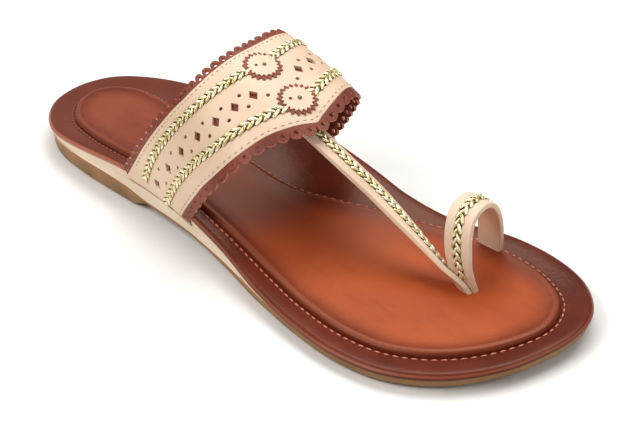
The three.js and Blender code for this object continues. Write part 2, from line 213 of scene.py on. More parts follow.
def column(table, key, name):
    """A smooth curve through one column that neither overshoots nor dips between its rows."""
    at = np.array([row[key] for row in table], float)
    value = np.array([row[name] for row in table], float)
    step = np.diff(at)
    rise = np.diff(value) / step
    slope = np.concatenate([rise[:1], rise[1:], rise[-1:]])
    for i in range(1, len(rise)):
        before, after = rise[i - 1], rise[i]
        slope[i] = 0 if before * after <= 0 else 2 * before * after / (before + after)

    def read(place):
        p = np.clip(place, at[0], at[-1])
        i = np.clip(np.searchsorted(at, p, side="right") - 1, 0, len(rise) - 1)
        t = (p - at[i]) / step[i]
        a, b = value[i], value[i + 1]
        u, v = slope[i] * step[i], slope[i + 1] * step[i]
        return a + t * (u + t * (3 * (b - a) - 2 * u - v + t * (2 * (a - b) + u + v)))

    return read


floor_at = column(height_table, "at", "floor")
tread_at = column(height_table, "at", "tread")
mid_at = column(height_table, "at", "mid")
rim_at = column(height_table, "at", "rim")
arch_at = column(height_table, "at", "arch")


def smooth(value, low, high):
    t = np.clip((value - low) / (high - low), 0, 1)
    return t * t * (3 - 2 * t)


def outline(table, half=150):
    """Even points round a table's outline, down its outer side and up its inner, and their outward ways."""
    outer = [(row["at"], -row["outer"]) for row in table]
    inner = [(row["at"], row["inner"]) for row in table[-2:0:-1]]
    loop = np.array(outer + inner, float)
    before, after, beyond = np.roll(loop, 1, 0), np.roll(loop, -1, 0), np.roll(loop, -2, 0)

    def span(a, b):
        return np.sqrt(np.linalg.norm(b - a, axis=1))[:, None]

    s0, s1, s2 = span(before, loop), span(loop, after), span(after, beyond)
    leave = ((loop - before) / s0 - (after - before) / (s0 + s1) + (after - loop) / s1) * s1
    reach = ((after - loop) / s1 - (beyond - loop) / (s1 + s2) + (beyond - after) / s2) * s1
    a, b, u, v = (part[:, None, :] for part in (loop, after, leave, reach))
    between = 40
    t = (np.arange(between) / between)[None, :, None]
    fine = (a + t * (u + t * (3 * (b - a) - 2 * u - v + t * (2 * (a - b) + u + v)))).reshape(-1, 2)
    turn = len(fine) // 2
    sides = [even(fine[: turn + 1], half)[:-1], even(np.vstack([fine[turn:], fine[:1]]), half)[:-1]]
    line = np.vstack(sides)
    way = np.roll(line, -1, 0) - np.roll(line, 1, 0)
    way /= np.linalg.norm(way, axis=1)[:, None]
    return line, np.stack([way[:, 1], -way[:, 0]], -1)


def even(line, count):
    """A line's points moved to count equal steps along it."""
    far = np.concatenate([[0], np.cumsum(np.linalg.norm(np.diff(line, axis=0), axis=1))])
    at = np.linspace(0, far[-1], count + 1)
    return np.stack([np.interp(at, far, line[:, k]) for k in range(line.shape[1])], -1)


def new_grid(name, around, across):
    """A flat square of around by across faces, and each vertex's place in it as 0 to 1."""
    bpy.ops.object.select_all(action="DESELECT")
    bpy.ops.mesh.primitive_grid_add(x_subdivisions=around, y_subdivisions=across, size=1)
    piece = bpy.context.object
    piece.name = name
    piece.data.name = name
    return piece, points_of(piece)[:, :2] + 0.5


def points_of(piece):
    points = np.empty(len(piece.data.vertices) * 3)
    piece.data.vertices.foreach_get("co", points)
    return points.reshape(-1, 3)


def lay(piece, points):
    """Moves a piece's vertices, given in the last's millimetres, to their places in metres."""
    placed = (points + np.array((HEEL_END, MIDDLE, 0))) / 1000
    piece.data.vertices.foreach_set("co", placed.ravel())
    piece.data.update()


def give(piece, name, values):
    """A number for each vertex, for the finish to read."""
    layer = piece.data.attributes.new(name, "FLOAT", "POINT")
    layer.data.foreach_set("value", np.asarray(values, np.float32))


def close_up(piece, reach=2e-6):
    """Joins the vertices that meet and turns the faces outward."""
    bpy.ops.object.select_all(action="DESELECT")
    piece.select_set(True)
    bpy.context.view_layer.objects.active = piece
    bpy.ops.object.mode_set(mode="EDIT")
    bpy.ops.mesh.select_all(action="SELECT")
    bpy.ops.mesh.remove_doubles(threshold=reach)
    bpy.ops.mesh.normals_make_consistent(inside=False)
    bpy.ops.object.mode_set(mode="OBJECT")
    bpy.ops.object.shade_smooth_by_angle(angle=math.radians(38))


# Room left in the sole's edge where the band goes in on each side, from its rear to its front edge.
BAND_ENTRY = (83.5, 120)
ENTRY_DEPTH = 3.1


def entry_room(x):
    rear, front = BAND_ENTRY
    return ENTRY_DEPTH * smooth(x, rear - 1, rear) * smooth(x, front + 1, front)


def sole_layer(name, table, faces, profile, inward=0.0):
    """A layer of the sole. Each profile row is a ring: how far in from the outline, how much of the
    rest of the way to the middle line, which face it is on, how far above it, and if it has entry room."""
    edge, out = outline(table)
    count = len(edge)
    mirror = edge[-np.arange(count) % count]
    length = table[-1]["at"]
    halfway = (edge + mirror) / 2
    spine_at = HEEL_STOP + halfway[:, 0] / length * (length - HEEL_STOP - TOE_STOP)
    spine = np.stack([spine_at, halfway[:, 1]], -1)
    piece, square = new_grid(name, count, len(profile) - 1)
    k = np.rint(square[:, 0] * count).astype(int) % count
    j = np.rint(square[:, 1] * (len(profile) - 1)).astype(int)
    inset, share, face, above, room = (np.array([row[c] for row in profile], float)[j] for c in range(5))
    inset = inset + inward + room * entry_room(edge[k, 0])
    flat = edge[k] - out[k] * inset[:, None]
    flat = flat + (spine[k] - flat) * share[:, None]
    x, y = flat[:, 0], flat[:, 1]
    under, top = faces
    z = np.where(face > 0, np.maximum(top(x, y) + above, under(x, y)), under(x, y) + above)
    lay(piece, np.stack([x, y, z], -1))
    give(piece, "depth", np.linalg.norm(flat - edge[k], axis=1))
    give(piece, "ring", j)
    close_up(piece)
    return piece


outsole = sole_layer(
    "outsole_rubber",
    rim_table,
    (lambda x, y: floor_at(x), lambda x, y: tread_at(x)),
    [
        (9, 1, 0, 0, 0), (9, 0.5, 0, 0, 0), (9, 0, 0, 0, 0), (5, 0, 0, 0, 0), (2.4, 0, 0, 0, 0),
        (1.5, 0, 0, 0.15, 0), (0.8, 0, 0, 0.5, 0), (0.3, 0, 0, 1.0, 0), (0.05, 0, 0, 1.6, 0),
        (0, 0, 1, -1.2, 0), (0, 0, 1, -0.6, 0), (0.12, 0, 1, -0.2, 0), (0.5, 0, 1, 0, 0),
        (4, 0, 1, 0, 0), (9, 0, 1, 0, 0), (9, 0.5, 1, 0, 0), (9, 1, 1, 0, 0),
    ],
    inward=1.0,
)
rubber, start = new_finish("gum_rubber", roughness=0.62)
mottle = start.noise(90, 5)
gum = start.mix(mottle.step(0.3, 0.7), tone(128, 92, 50), tone(150, 112, 66))
ring = start.attribute("ring")
gum = start.mix(ring.step(8.3, 9.6) * 0.6, gum, tone(160, 104, 60))
fine = start.noise(2200, 2)
feed(rubber, base_color=gum, normal=start.bump(fine + mottle, 0.25))
outsole.data.materials.append(rubber)
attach(outsole, "root")
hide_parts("outsole")


# ---- Midsole: a wedge under a smooth cream cover, skived to nothing under the ball of the foot ----
# Its top edge is cut back where the band's ends are glued in, and painted shade darkens the gap.
def arch_lift(x, y):
    return arch_at(x) * smooth(y, -6, 32)


wedge = sole_layer(
    "midsole_wedge",
    rim_table,
    (lambda x, y: tread_at(x) + 0.1, lambda x, y: np.maximum(mid_at(x) + arch_lift(x, y), tread_at(x) + 0.2)),
    [
        (9, 1, 0, 0, 0), (9, 0, 0, 0, 0), (2, 0, 0, 0, 0), (0.25, 0, 0, 0, 0), (0, 0, 0, 0.2, 0),
        (0.1, 0, 1, -3.8, 0), (0.5, 0, 1, -3.6, 1), (0, 0, 1, -0.4, 1), (0.3, 0, 1, -0.05, 1),
        (1.5, 0, 1, 0, 1), (9, 0, 1, 0, 0), (9, 0.5, 1, 0, 0), (9, 1, 1, 0, 0),
    ],
    inward=0.7,
)
bpy.ops.object.mode_set(mode="EDIT")
bpy.ops.mesh.select_all(action="SELECT")
WEDGE_END = 178
wedge_toe = ((WEDGE_END + HEEL_END) / 1000, 0, 0)
bpy.ops.mesh.bisect(plane_co=wedge_toe, plane_no=(1, 0, 0), use_fill=True, clear_outer=True)
bpy.ops.object.mode_set(mode="OBJECT")
cream, start = new_finish("cream_cover", roughness=0.6)
cloud = start.noise(60, 4)
skin = start.mix(cloud.step(0.3, 0.7), tone(222, 200, 172), tone(232, 212, 188))
along = start.along_foot()
entry = along.step(-0.0465, -0.0455) * along.step(-0.0078, -0.0088)
# Painted shade: the floor of the cut-back gap is darkened where the band's ends go in.
painted_gap_shade = start.attribute("ring").step(5.2, 5.6) * entry
skin = start.mix(painted_gap_shade, skin, tone(64, 32, 22))
feed(cream, base_color=skin, normal=start.bump(start.noise(1800, 3), 0.2))
wedge.data.materials.append(cream)
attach(wedge, "root")
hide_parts("midsole")


# ---- Footbed: a board covered in dark brown leather with a rounded, polished rim ----
# It dips a little toward the middle, where the pad lies.
rim_line = outline(rim_table)[0]


def inset_of(x, y):
    """How far places lie inside the rim's outline."""
    best = np.full(np.shape(x), 1e9)
    for a, b in zip(rim_line, np.roll(rim_line, -1, 0)):
        along = ((x - a[0]) * (b[0] - a[0]) + (y - a[1]) * (b[1] - a[1])) / ((b - a) @ (b - a))
        t = np.clip(along, 0, 1)
        best = np.minimum(best, np.hypot(x - a[0] - t * (b[0] - a[0]), y - a[1] - t * (b[1] - a[1])))
    return best


RIM_REACH, RIM_DROP = 1.8, 1.0
DISH_START, DISH_FLOOR, DISH_DEPTH = 2.5, 11, 1.0


def bed_top(x, y):
    inset = inset_of(x, y)
    crest = np.maximum(0, 1 - inset / RIM_REACH)
    dish = DISH_DEPTH * smooth(inset, DISH_START, DISH_FLOOR)
    return rim_at(x) + arch_lift(x, y) - RIM_DROP * crest ** 2 - dish


footbed = sole_layer(
    "footbed_leather",
    rim_table,
    (lambda x, y: mid_at(x) + arch_lift(x, y) + 0.05, bed_top),
    [
        (9, 1, 0, 0, 0), (9, 0, 0, 0, 0), (2, 0, 0, 0, 1), (0.6, 0, 0, 0, 1), (0.15, 0, 0, 0.1, 1),
        (0, 0, 0, 0.35, 1), (0, 0, 1, -0.2, 1), (0, 0, 1, 0, 1), (0.15, 0, 1, 0, 1), (0.4, 0, 1, 0, 1),
        (0.8, 0, 1, 0, 1), (1.2, 0, 1, 0, 1), (1.7, 0, 1, 0, 1), (2.3, 0, 1, 0, 1), (3, 0, 1, 0, 0.6),
        (4, 0, 1, 0, 0.2), (5, 0, 1, 0, 0), (6.2, 0, 1, 0, 0), (7.6, 0, 1, 0, 0), (9, 0, 1, 0, 0),
        (11, 0, 1, 0, 0), (11, 0.2, 1, 0, 0), (11, 0.45, 1, 0, 0), (11, 0.75, 1, 0, 0), (11, 1, 1, 0, 0),
    ],
)
rim_leather, start = new_finish(
    "brown_rim_leather", roughness=0.3, specular_ior_level=0.3, specular_tint=(1, 0.66, 0.48, 1)
)
ring = start.attribute("ring")
cloud = start.noise(45, 4)
hide = start.mix(cloud.step(0.3, 0.75), tone(80, 26, 14), tone(104, 38, 20))
side = start.mix(cloud.step(0.3, 0.75), tone(82, 32, 20), tone(100, 44, 30))
along = start.along_foot()
heelward = along.step(0.03, -0.08)
side = start.mix(heelward, side, tone(160, 98, 76))
hide = start.mix(heelward * 0.5, hide, tone(112, 60, 46))
hide = start.mix(ring.step(10.6, 9.4), hide, side)
# Painted highlight: a lighter line along the rim's rounded top edge.
painted_rim_highlight = ring.step(6.8, 7.6) * ring.step(9.8, 9.2)
hide = start.mix(painted_rim_highlight * 0.5, hide, tone(156, 86, 62))
hide = start.mix(ring.step(4.8, 4.2) * 0.9, hide, tone(52, 18, 14))
grain = start.pores(900) * 0.6 + start.noise(500, 4)
feed(rim_leather, base_color=hide, roughness=0.26 + cloud * 0.14, normal=start.bump(grain, 0.2))
footbed.data.materials.append(rim_leather)
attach(footbed, "root")
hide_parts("footbed")


# ---- Pad: foam under tan leather, cut like a footprint, lasted down along a stitched groove ----
# A ridge runs just inside its edge; the leather is burnished dark toward the edge, and it is darker at the
# waist.
pad_table = rows(
    "at outer inner",
    (12.5, -2, 2), (16, 7, 9.5), (28, 16.8, 14.4), (44, 21.8, 13.6), (60, 24.6, 11), (80, 26.2, 7.4),
    (100, 26.8, 4.4), (118, 27.4, 3), (136, 29, 4.8), (151, 31, 11.2), (165, 33, 18.8), (182, 35.6, 25.4),
    (202, 36.8, 30), (219, 33.8, 30.2), (233, 25.4, 26.6), (244, 11.4, 19.2), (249.4, -6, 6),
)


def dents(x, y):
    """Slight hollows that the heel and the ball of the foot leave."""
    ball = np.exp(-(((x - 190) / 26) ** 2 + ((y + 2) / 24) ** 2))
    heel = np.exp(-(((x - 44) / 20) ** 2 + ((y + 3) / 13) ** 2))
    return -0.25 * ball - 0.35 * heel


# Where the toe ring's two legs go into the bed.
OUTER_LEG, INNER_LEG = (216.2, 5.6), (205, 28.9)


def press(x, y):
    """The pad is pulled down round the legs of the toe ring."""
    outer = np.hypot((x - OUTER_LEG[0]) / 5, (y - OUTER_LEG[1]) / 4)
    inner = np.hypot((x - INNER_LEG[0]) / 6.5, (y - INNER_LEG[1]) / 2.4)
    return -0.2 * (np.exp(-outer ** 4) + np.exp(-inner ** 4))


pad = sole_layer(
    "footbed_pad_leather",
    pad_table,
    (bed_top, lambda x, y: bed_top(x, y) + dents(x, y) + press(x, y)),
    [
        (9, 1, 0, -0.3, 0), (9, 0, 0, -0.3, 0), (2, 0, 0, -0.3, 0), (0.2, 0, 0, -0.3, 0), (0, 0, 0, 0, 0),
        (0, 0, 0, 0.3, 0), (0.15, 0, 0, 0.85, 0), (0.4, 0, 0, 1.3, 0), (0.8, 0, 0, 1.7, 0),
        (1.3, 0, 0, 1.98, 0), (1.9, 0, 1, 2.12, 0), (2.5, 0, 1, 2.1, 0), (3.2, 0, 1, 1.96, 0),
        (4.2, 0, 1, 1.82, 0), (5.4, 0, 1, 1.76, 0), (7, 0, 1, 1.74, 0), (9, 0, 1, 1.74, 0),
        (9, 0.12, 1, 1.75, 0), (9, 0.25, 1, 1.76, 0), (9, 0.4, 1, 1.77, 0), (9, 0.55, 1, 1.78, 0),
        (9, 0.7, 1, 1.78, 0), (9, 0.85, 1, 1.78, 0), (9, 1, 1, 1.78, 0),
    ],
)
pad_leather, start = new_finish(
    "tan_pad_leather", roughness=0.38, specular_ior_level=0.35, specular_tint=(1, 0.66, 0.46, 1)
)
depth = start.attribute("depth")
ring = start.attribute("ring")
cloud = start.noise(28, 4)
streak = start.noise(260, 4, (0.25, 1, 1))
along = start.along_foot()
hide = start.mix(cloud.step(0.3, 0.7), tone(152, 62, 26), tone(170, 76, 34))
heel_tone = start.mix(cloud.step(0.3, 0.7), tone(118, 50, 32), tone(138, 66, 44))
hide = start.mix(along.step(0.03, -0.045), hide, heel_tone)
burnish = (depth + cloud * 6 - 3).step(10, 0.5)
hide = start.mix(burnish * 0.85, hide, tone(92, 30, 16))
# The pad is darker over the waist.
waist = along.step(-0.03, 0.0) * along.step(0.07, 0.035)
hide = start.mix(waist * 0.4, hide, tone(104, 42, 24))
# Painted highlight: a lighter line along the top of the ridge all round the pad.
painted_ridge_highlight = ring.step(7.6, 8.6) * ring.step(11.4, 10.4)
hide = start.mix(painted_ridge_highlight * 0.16, hide, tone(196, 112, 76))
hide = start.mix(streak.step(0.45, 0.8) * 0.25, hide, tone(120, 46, 28))
grain = start.pores(800) * 0.5 + streak
feed(pad_leather, base_color=hide, roughness=0.32 + cloud * 0.16, normal=start.bump(grain, 0.14))
pad.data.materials.append(pad_leather)
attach(pad, "root")
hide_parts("footbed_pad")


def new_bead(name, size, turns=8, rings=6):
    """A small rounded grain; it is repeated many times, so it has few faces."""
    bpy.ops.object.select_all(action="DESELECT")
    bpy.ops.mesh.primitive_uv_sphere_add(segments=turns, ring_count=rings, radius=1)
    bead = bpy.context.object
    bead.name = name
    shape = points_of(bead) * np.array(size)
    bead.data.vertices.foreach_set("co", shape.ravel())
    return bead


def repeat(name, tile, places, across, along, up):
    """One piece from many copies of a tile, each at its place with its own three directions."""
    shape = points_of(tile)
    faces = [tuple(face.vertices) for face in tile.data.polygons]
    count = len(shape)
    points = (
        places[:, None, :]
        + across[:, None, :] * shape[None, :, 0:1]
        + along[:, None, :] * shape[None, :, 1:2]
        + up[:, None, :] * shape[None, :, 2:3]
    ).reshape(-1, 3)
    mesh = bpy.data.meshes.new(name)
    made = [tuple(v + n * count for v in face) for n in range(len(places)) for face in faces]
    mesh.from_pydata(points.tolist(), [], made)
    mesh.shade_smooth()
    piece = bpy.data.objects.new(name, mesh)
    bpy.context.collection.objects.link(piece)
    bpy.data.objects.remove(tile)
    return piece


GROOVE_OUT, GROOVE_UP, STITCHES = 0.95, 0.12, 178
pad_line, pad_out = outline(pad_table)
groove = pad_line + pad_out * GROOVE_OUT
groove = even(np.vstack([groove, groove[:1]]), STITCHES)[:-1]
seat = np.column_stack([groove, bed_top(groove[:, 0], groove[:, 1]) + GROOVE_UP])
way = np.roll(seat, -1, 0) - np.roll(seat, 1, 0)
way /= np.linalg.norm(way, axis=1)[:, None]
up = np.tile(np.array((0.0, 0.0, 1.0)), (len(seat), 1))
side = np.cross(way, up)
stitch = new_bead("stitch", (0.32, 1.15, 0.3), 6, 5)
pad_stitches = repeat("pad_stitches", stitch, seat, side, way, up)
lay(pad_stitches, points_of(pad_stitches))
thread, start = new_finish("salmon_thread", roughness=0.55)
twist = start.noise(1500, 2)
strand = start.mix(twist.step(0.3, 0.7), tone(178, 102, 76), tone(202, 130, 100))
along = start.along_foot()
strand = start.mix(along.step(0.0, -0.05) * 0.8, strand, tone(120, 56, 40))
feed(thread, base_color=strand)
pad_stitches.data.materials.append(thread)
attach(pad_stitches, "root")


# ---- Band: beige leather cut flat, punched with diamonds and dots, then lasted over the instep ----
# Its ends turn in under the footbed. In the flat pattern x runs across the band toward the toe,
# y along it toward the inner side and z is up from the leather's face.
instep_table = rows(
    "at crown outer inner",
    (64, 72, 30.6, 32), (89, 69, 31.3, 33), (109, 65.4, 32, 33.9), (131, 59.2, 34.4, 33.7),
    (148, 52.2, 37.2, 33.2), (156, 47, 38.8, 32.9), (169, 38.4, 41.4, 32.8),
)
crown_at = column(instep_table, "at", "crown")
outer_at = column(instep_table, "at", "outer")
inner_at = column(instep_table, "at", "inner")
# The crown's place across the foot, and how full the outer and inner flanks are.
CROWN_LINE = 4
FULLNESS = (2.3, 3.4)
# The band's ends drop straight past the sole's edge, then fold in round this radius.
DROP = 1.4
FOLD = 1


def foot_line(x, outer):
    return mid_at(x) + arch_at(x) * np.where(outer, 0, 0.99) - 0.1


def arch(x, turn):
    """Instep surface: turn goes from -1 at the outer sole edge over 0 at the crown to 1 at the inner."""
    outer = turn < 0
    wide = np.where(outer, outer_at(x) + CROWN_LINE, inner_at(x) - CROWN_LINE)
    foot = foot_line(x, outer)
    full = np.where(outer, *FULLNESS)
    angle = turn * math.pi / 2
    flat = np.abs(np.sin(angle) / wide) ** full + np.abs(np.cos(angle) / (crown_at(x) - foot)) ** full
    reach = flat ** (-1 / full)
    return np.stack([x, CROWN_LINE + reach * np.sin(angle), foot + reach * np.cos(angle)], -1)


middle_table = rows(
    "down x",
    (0, 135.2), (0.12, 134.4), (0.26, 132), (0.42, 127.1), (0.57, 120.2), (0.74, 111.8), (0.9, 104.3),
    (1, 100),
)
# The line runs from the outer sole edge (-1) over the band's middle (0) to the inner edge (1). EASE
# rounds its bend at the middle, so that the leather there isn't stretched on one side.
EASE = 0.01
MIDDLE_TURN = -0.045
down = np.linspace(-1, 1, 401)
eased = np.sqrt((down ** 2 + EASE) / (1 + EASE))
middle_turns = MIDDLE_TURN + down * (1 - MIDDLE_TURN * np.sign(down))
middle_line = arch(column(middle_table, "down", "x")(eased), middle_turns)
middle_far = np.concatenate([[0], np.cumsum(np.linalg.norm(np.diff(middle_line, axis=0), axis=1))])
middle_far -= middle_far[len(down) // 2]
middle_way = np.gradient(middle_line, middle_far, axis=0)
middle_way /= np.linalg.norm(middle_way, axis=1)[:, None]


def unit(vectors):
    return vectors / np.linalg.norm(vectors, axis=-1, keepdims=True)


def face_way(x, turn):
    """Which way is out of the instep surface."""
    toward_toe = arch(x + 0.2, turn) - arch(x - 0.2, turn)
    round_foot = arch(x, turn + 0.002) - arch(x, turn - 0.002)
    return unit(np.cross(toward_toe, round_foot))


middle_x, middle_y, middle_z = middle_line.T
middle_rise = middle_z - foot_line(middle_x, middle_y < CROWN_LINE)
turns = np.arctan2(middle_y - CROWN_LINE, middle_rise) / (math.pi / 2)
middle_across = unit(np.cross(middle_way, face_way(middle_x, turns)))


def lasted_band(flat, tell_past=False):
    """Flat pattern places, in millimetres, to their places round the instep."""
    across, along, high = flat.T
    held = np.clip(along, middle_far[0], middle_far[-1])
    start_at, way, over = (
        np.stack([np.interp(held, middle_far, part[:, k]) for k in range(3)], -1)
        for part in (middle_line, middle_way, middle_across)
    )
    loose = start_at + way * (along - held)[:, None] + over * across[:, None]
    x, y = loose[:, 0], loose[:, 1]
    outer = y < CROWN_LINE
    rise = loose[:, 2] - foot_line(x, outer)
    past = np.maximum(0, -rise)
    if tell_past:
        return past
    turn = np.arctan2(y - CROWN_LINE, np.maximum(rise, 0)) / (math.pi / 2)
    seat = arch(x, turn)
    out = face_way(x, np.clip(turn, -0.998, 0.998))
    turned = np.maximum(0, past - DROP)
    bend = np.minimum(turned / FOLD, math.pi / 2)
    straight = np.maximum(0, turned - FOLD * math.pi / 2)
    seat[:, 1] += (FOLD * (1 - np.cos(bend)) + straight) * np.where(outer, 1, -1)
    seat[:, 2] -= FOLD * np.sin(bend) + np.minimum(past, DROP)
    out = unit(out * np.cos(bend)[:, None] + np.array((0, 0, -1)) * np.sin(bend)[:, None])
    return seat + out * high[:, None]


edge_table = rows(
    "far rear front",
    (0, 17.5, 21.3), (4.5, 17.4, 19.6), (9, 17.2, 18.4), (16, 16.6, 17.2), (25, 16, 16.5), (35, 15.6, 15.4),
    (46, 15, 14.5), (58, 14.2, 14.5), (74, 13, 15.4), (90, 12.6, 15.6),
)
rear_edge = column(edge_table, "far", "rear")
front_edge = column(edge_table, "far", "front")


def band_end(across, side, tuck):
    """How far along the flat pattern the leather reaches so that it tucks this much past the sole edge."""
    far = np.linspace(50, 100, 251)
    lines, tries = len(across), len(far)
    grid = np.stack([np.repeat(across, tries), side * np.tile(far, lines), np.zeros(tries * lines)], -1)
    past = lasted_band(grid, True).reshape(lines, tries)
    return np.array([np.interp(tuck, line, far) for line in past])


END_WIDTH = 30


def band_sheet(name, around, across, spread, tuck, thick, above):
    """A flat slab in the band's outline, its ends cut along the sole edges."""
    sheet, square = new_grid(name, across, around)
    share = np.linspace(0, 1, across + 1)
    lanes = END_WIDTH * (share - 0.5)
    ends = [np.interp(square[:, 0], share, band_end(lanes, side, tuck)) for side in (-1, 1)]
    far = -ends[0] + (ends[0] + ends[1]) * square[:, 1]
    low, high = -rear_edge(np.abs(far)) - spread, front_edge(np.abs(far)) + spread
    flat = np.stack([low + (high - low) * square[:, 0], far, np.full(len(far), above)], -1)
    sheet.data.vertices.foreach_set("co", flat.ravel())
    sheet.data.update()
    thicken(sheet, thick)
    return sheet


def finish_modifier(piece, kind, **settings):
    """Adds a modifier, sets it and applies it."""
    bpy.ops.object.select_all(action="DESELECT")
    piece.select_set(True)
    bpy.context.view_layer.objects.active = piece
    modifier = piece.modifiers.new(kind.lower(), kind)
    for key, value in settings.items():
        setattr(modifier, key, value)
    bpy.ops.object.modifier_apply(modifier=modifier.name)


def thicken(piece, thick, rim_slot=0):
    """A wall below the sheet's face; its cut edge takes the finish that many slots on."""
    walls = {"thickness": thick, "offset": -1, "use_even_offset": False, "material_offset_rim": rim_slot}
    finish_modifier(piece, "SOLIDIFY", **walls)


vamp = band_sheet("band_leather", 200, 44, spread=0, tuck=5.2, thick=1.1, above=0.0)
finish_modifier(vamp, "BEVEL", width=0.3, segments=3, limit_method="ANGLE", angle_limit=math.radians(50))

# How far along the band from its middle the diamonds are, and the dots' distance from their line.
DOT_BESIDE = 2.9
diamond_far = np.array((10.2, 17.7, 25.7, 34.6, 44.8, 56.2, 68.2))
line_table = rows(
    "far at", (0, 1.6), (10, 1.4), (18, 1.1), (26, 0.6), (34, -0.3), (45, -1), (56, -0.6), (70, -0.3)
)
line_at = column(line_table, "far", "at")


def punch(name, sides, reach, places):
    """Prisms that stand through the leather where a punch goes in."""
    bpy.ops.object.select_all(action="DESELECT")
    bpy.ops.mesh.primitive_cylinder_add(vertices=sides, radius=1, depth=6)
    tool = bpy.context.object
    tool.data.vertices.foreach_set("co", (points_of(tool) * np.array((*reach, 1))).ravel())
    count = len(places)
    eye = np.eye(3)
    return repeat(name, tool, places, *(np.tile(eye[k], (count, 1)) for k in range(3)))


far = np.concatenate([-diamond_far, diamond_far])
diamonds = punch("diamond_punch", 4, (2.35, 1.7), np.stack([line_at(np.abs(far)), far, 0 * far], -1))
between = np.concatenate([[6.4], (diamond_far[1:] + diamond_far[:-1]) / 2])
far = np.concatenate([-between, -between[1:], between, between[1:]])
half = np.ones(len(between))
side = np.concatenate([half, -half[1:], half, -half[1:]])
beside = line_at(np.abs(far)) + DOT_BESIDE * side
dots = punch("dot_punch", 16, (0.72, 0.72), np.stack([beside, far, 0 * far], -1))
for tool in (diamonds, dots):
    finish_modifier(vamp, "BOOLEAN", operation="DIFFERENCE", object=tool, solver="EXACT")
    bpy.data.objects.remove(tool)


def last_on(piece, surface):
    """Stretches a flat piece over its surface and puts it in place."""
    lay(piece, surface(points_of(piece)))


last_on(vamp, lasted_band)
close_up(vamp, 1e-6)
beige, start = new_finish("beige_leather", roughness=0.5, coat_weight=0.08, coat_roughness=0.4)
cloud = start.noise(30, 4)
hide = start.mix(cloud.step(0.3, 0.7), tone(216, 186, 158), tone(228, 200, 172))
grain = start.pores(1100) * 0.5 + start.noise(700, 4)
feed(beige, base_color=hide, roughness=0.44 + cloud * 0.12, normal=start.bump(grain, 0.16))
vamp.data.materials.append(beige)
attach(vamp, "root")
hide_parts("upper")


# ---- Lining: a brown leather sheet under the band, its front and rear edges pinked into scallops ----
# Each scallop has a round punched hole, and the cut edges are pale.
brown, start = new_finish("brown_lining_leather", roughness=0.5, specular_tint=(1, 0.7, 0.55, 1))
cloud = start.noise(60, 4)
hide = start.mix(cloud.step(0.3, 0.7), tone(104, 42, 30), tone(128, 56, 42))
pricks = start.pores(330).step(0.16, 0.1)
hide = start.mix(pricks * 0.7, hide, tone(58, 22, 18))
grain = start.noise(900, 4) - pricks
feed(brown, base_color=hide, normal=start.bump(grain, 0.25))
cut_edge, start = new_finish("pale_cut_edge", roughness=0.7)
fibre = start.noise(1400, 4)
feed(cut_edge, base_color=start.mix(fibre.step(0.3, 0.7), tone(176, 104, 84), tone(206, 140, 116)))

lining = band_sheet("band_lining_leather", 150, 24, spread=-1, tuck=3.6, thick=1.1, above=-1.15)
last_on(lining, lasted_band)
close_up(lining, 1e-6)
for finish in (brown, cut_edge):
    lining.data.materials.append(finish)
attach(lining, "root")
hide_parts("band_lining")

# One scallop's step, its round end's and its hole's radius, and how far it is glued under the sheet.
PITCH, TAB, HOLE, UNDER = 4.3, 2.05, 0.8, 1.2


def scallop_tile(stand):
    """One scallop with its hole: a ring of faces between the hole and the outline."""
    turns_round = 28
    tile, square = new_grid("scallop", turns_round, 3)
    angle = square[:, 0] * 2 * math.pi
    centre = np.array((stand, 0.0))
    way = np.stack([np.cos(angle), np.sin(angle)], -1)
    half = PITCH / 2
    wall = half / np.maximum(np.abs(way[:, 1]), 1e-6)
    base = (centre[0] + UNDER) / np.maximum(-way[:, 0], 1e-6)
    rim = np.where(way[:, 0] > -0.12, TAB, np.minimum(wall, base))
    near = HOLE + (rim - HOLE) * square[:, 1]
    flat = centre + way * near[:, None]
    tile.data.vertices.foreach_set("co", np.column_stack([flat, 0 * angle]).ravel())
    tile.data.update()
    return tile


def scallops(name, side):
    """A row along the band's rear (-1) or front (1) edge, as far as the leather shows."""
    tile = scallop_tile(1.4 if side < 0 else 1.8)
    for finish in (brown, cut_edge):
        tile.data.materials.append(finish)
    close_up(tile, 2e-3)
    table = rear_edge if side < 0 else front_edge
    far = np.linspace(-84, 84, 400)
    line = np.stack([side * table(np.abs(far)), far, 0 * far], -1)
    line = line[lasted_band(line, True) < 2.2]
    count = int(round(np.sum(np.linalg.norm(np.diff(line, axis=0), axis=1)) / PITCH))
    line = even(line, count)
    centre = (line[1:] + line[:-1]) / 2
    way = unit(line[1:] - line[:-1])
    up = np.tile(np.array((0.0, 0.0, 1.0)), (count, 1))
    over = np.cross(way, up)
    if side < 0:
        over, way = -over, -way
    centre[:, 2] = -1.17
    strip = repeat(name, tile, centre, over, way, up)
    for finish in (brown, cut_edge):
        strip.data.materials.append(finish)
    thicken(strip, 1.05, 1)
    last_on(strip, lasted_band)
    bpy.ops.object.shade_smooth_by_angle(angle=math.radians(38))
    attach(strip, "root")


scallops("rear_scallops", -1)
scallops("front_scallops", 1)


# ---- Gold braids: two metallic strands plaited flat and sewn down along the band ----
# A grain is one strand's crossing; the gaps between them show a tape that is coloured dark as painted shade.
gold, start = new_finish("pale_gold_thread", metallic=0.7, roughness=0.26)
glint = start.noise(420, 3)
strand = start.mix(glint.step(0.35, 0.65), tone(214, 190, 132), tone(255, 244, 208))
feed(gold, base_color=strand, normal=start.bump(start.noise(2600, 2), 0.4))
# The tape's dark colour is painted shade for the gaps between the strands.
braid_gap_shade_finish, start = new_finish("braid_tape_painted_shade", roughness=0.7)
feed(braid_gap_shade_finish, base_color=start.mix(start.noise(900), tone(58, 44, 20), tone(90, 70, 36)))


# A grain's slant, each strand's distance from the middle as a share of the width, and its height.
SLANT, APART, PROUD = 0.62, 0.23, 0.34


